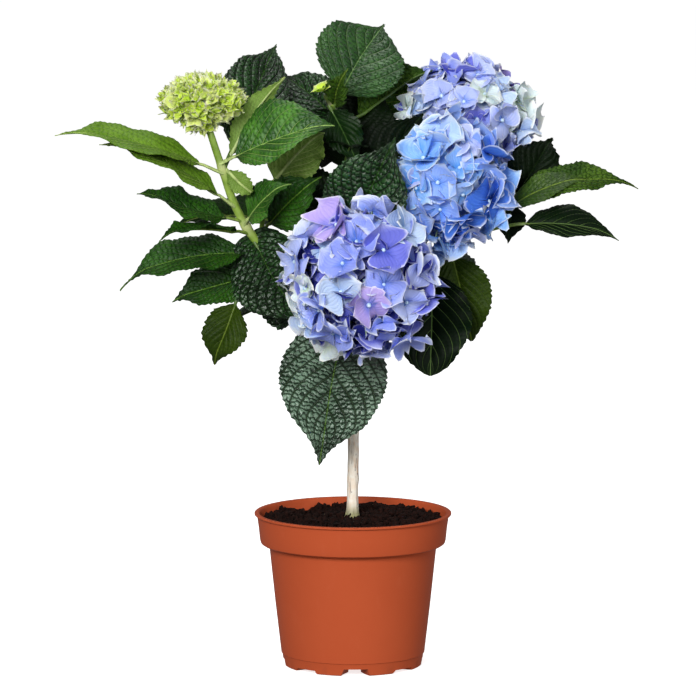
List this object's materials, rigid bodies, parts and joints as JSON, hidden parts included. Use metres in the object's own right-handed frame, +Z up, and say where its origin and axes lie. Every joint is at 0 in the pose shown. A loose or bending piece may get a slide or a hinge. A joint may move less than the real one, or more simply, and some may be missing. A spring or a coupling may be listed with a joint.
{
  "type": "potted hydrangea",
  "caption": "Hydrangea grown as a small standard in a plastic nursery pot: bare stem, forked green boughs, large serrated leaves and rounded flower heads.",
  "frame": {"origin": "middle of the pot's flat underside, where it stands", "axes": "+Z up along the stem, -Y towards the show side with the large flower heads"},
  "size_m": [0.406, 0.2675, 0.4593],
  "materials": {
    "pot": "satin",
    "compost": "matte",
    "bark": "matte",
    "shoot": "satin",
    "leaf": "satin",
    "young_leaf": "satin",
    "lavender_bloom": "matte",
    "blue_bloom": "matte",
    "lilac_bloom": "matte",
    "green_bloom": "matte"
  },
  "bodies": {
    "root": {"pot": "pot", "compost": "compost", "stem": "bark", "front_bloom": "lavender_bloom", "blue_bloom": "blue_bloom", "lilac_bloom": "lilac_bloom", "green_bloom": "green_bloom", "bud": "green_bloom", "left_bough": "shoot", "front_bough": "shoot", "blue_bough": "shoot", "lilac_bough": "shoot", "top_bough": "shoot", "back_bough": "shoot", "right_bough": "shoot", "side_shoot": "shoot", "leaf_tall_left": "leaf", "leaf_pale_strip": "young_leaf", "leaf_bright": "young_leaf", "leaf_long_left": "young_leaf", "leaf_pale_hanging": "young_leaf", "leaf_under_left": "leaf", "leaf_mid_left": "leaf", "leaf_edge_left": "leaf", "leaf_wing": "leaf", "leaf_curled_left": "leaf", "leaf_low_left": "leaf", "leaf_round": "leaf", "leaf_round_upper": "leaf", "leaf_hanging_left": "leaf", "leaf_shoot_underside": "leaf", "leaf_shoot_crinkled": "leaf", "leaf_bottom": "leaf", "leaf_centre": "leaf", "leaf_top": "leaf", "leaf_top_ribbed": "leaf", "leaf_top_left": "leaf", "leaf_bud_guard": "leaf", "leaf_bud_lower": "leaf", "leaf_dark_underside": "leaf", "leaf_shade_left": "leaf", "leaf_shade_right": "leaf", "leaf_shade_top": "leaf", "leaf_shade_gap": "leaf", "leaf_low_right": "leaf", "leaf_low_right_rear": "leaf", "leaf_right_low": "leaf", "leaf_right_high": "leaf", "leaf_right_inner": "leaf", "leaf_right_dark": "leaf", "leaf_right_fork": "leaf", "leaf_back_high": "leaf", "leaf_back_high_left": "leaf", "leaf_back_left": "leaf", "leaf_back_right": "leaf", "leaf_back_low": "leaf", "leaf_back_low_right": "leaf", "leaf_back_mid_right": "leaf", "leaf_back_low_left": "leaf"}
  },
  "joints": []
}
